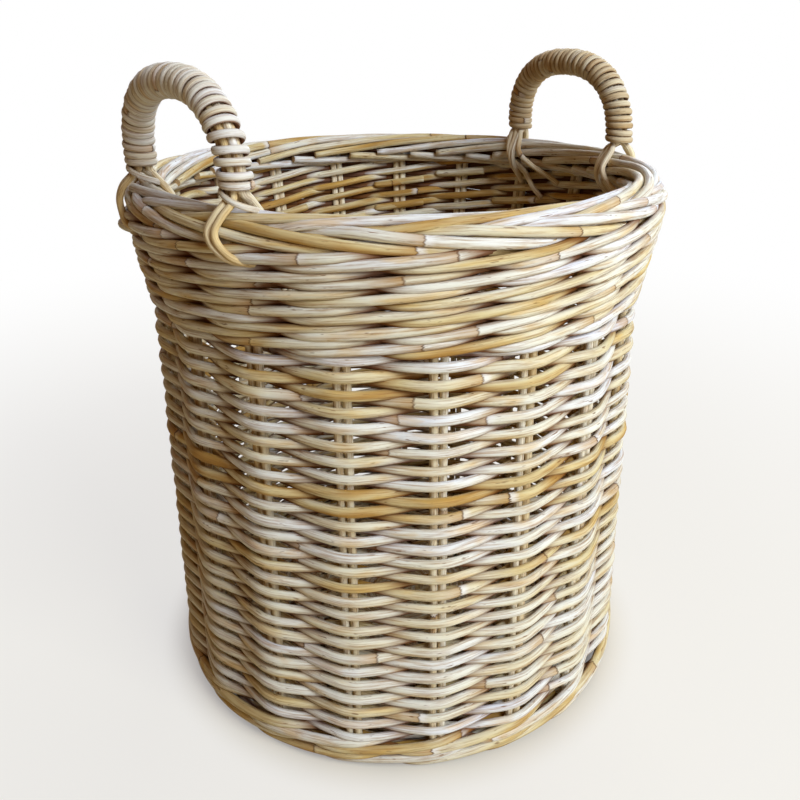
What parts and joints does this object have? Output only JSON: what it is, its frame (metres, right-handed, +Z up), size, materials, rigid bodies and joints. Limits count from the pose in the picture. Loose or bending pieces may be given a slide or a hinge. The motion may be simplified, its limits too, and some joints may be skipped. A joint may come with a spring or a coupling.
{
  "type": "wicker log basket",
  "caption": "Round straight-sided rattan log basket with a flared waled top, plaited rim and two fixed arch handles bound with cane.",
  "frame": {"origin": "under the middle of the base, at floor level", "axes": "+Z up; the two handles stand near -X and +X, and the front, where they are one bay closer together, faces -Y"},
  "size_m": [0.4448, 0.4447, 0.5383],
  "materials": {
    "weaver": "natural rattan weaving rods, satin",
    "upright": "natural rattan uprights, satin",
    "border": "natural rattan wale and border rods, satin",
    "cane": "pale cane binding, soft sheen",
    "core": "rattan core rods, matt"
  },
  "bodies": {
    "root": {"base_weave_lower": "weaver", "base_weave_upper": "weaver", "foot_wale": "border", "handle_core_left": "core", "handle_core_right": "core", "handle_tie_left_back": "cane", "handle_tie_left_front": "cane", "handle_tie_right_back": "cane", "handle_tie_right_front": "cane", "handle_wrap_left": "cane", "handle_wrap_right": "cane", "rim_border": "border", "side_weave": "weaver", "stake_01a": "upright", "stake_01b": "upright", "stake_02a": "upright", "stake_02b": "upright", "stake_03a": "upright", "stake_03b": "upright", "stake_04a": "upright", "stake_04b": "upright", "stake_05a": "upright", "stake_05b": "upright", "stake_06a": "upright", "stake_06b": "upright", "stake_07a": "upright", "stake_07b": "upright", "stake_08a": "upright", "stake_08b": "upright", "stake_09a": "upright", "stake_09b": "upright", "stake_10a": "upright", "stake_10b": "upright", "stake_11a": "upright", "stake_11b": "upright", "stake_12a": "upright", "stake_12b": "upright", "stake_13a": "upright", "stake_13b": "upright", "stake_14a": "upright", "stake_14b": "upright", "stake_15a": "upright", "stake_15b": "upright", "stake_16a": "upright", "stake_16b": "upright", "stake_17a": "upright", "stake_17b": "upright", "stake_18a": "upright", "stake_18b": "upright", "stake_19a": "upright", "stake_19b": "upright", "top_wale": "border", "upsett_wale": "border"}
  },
  "joints": []
}
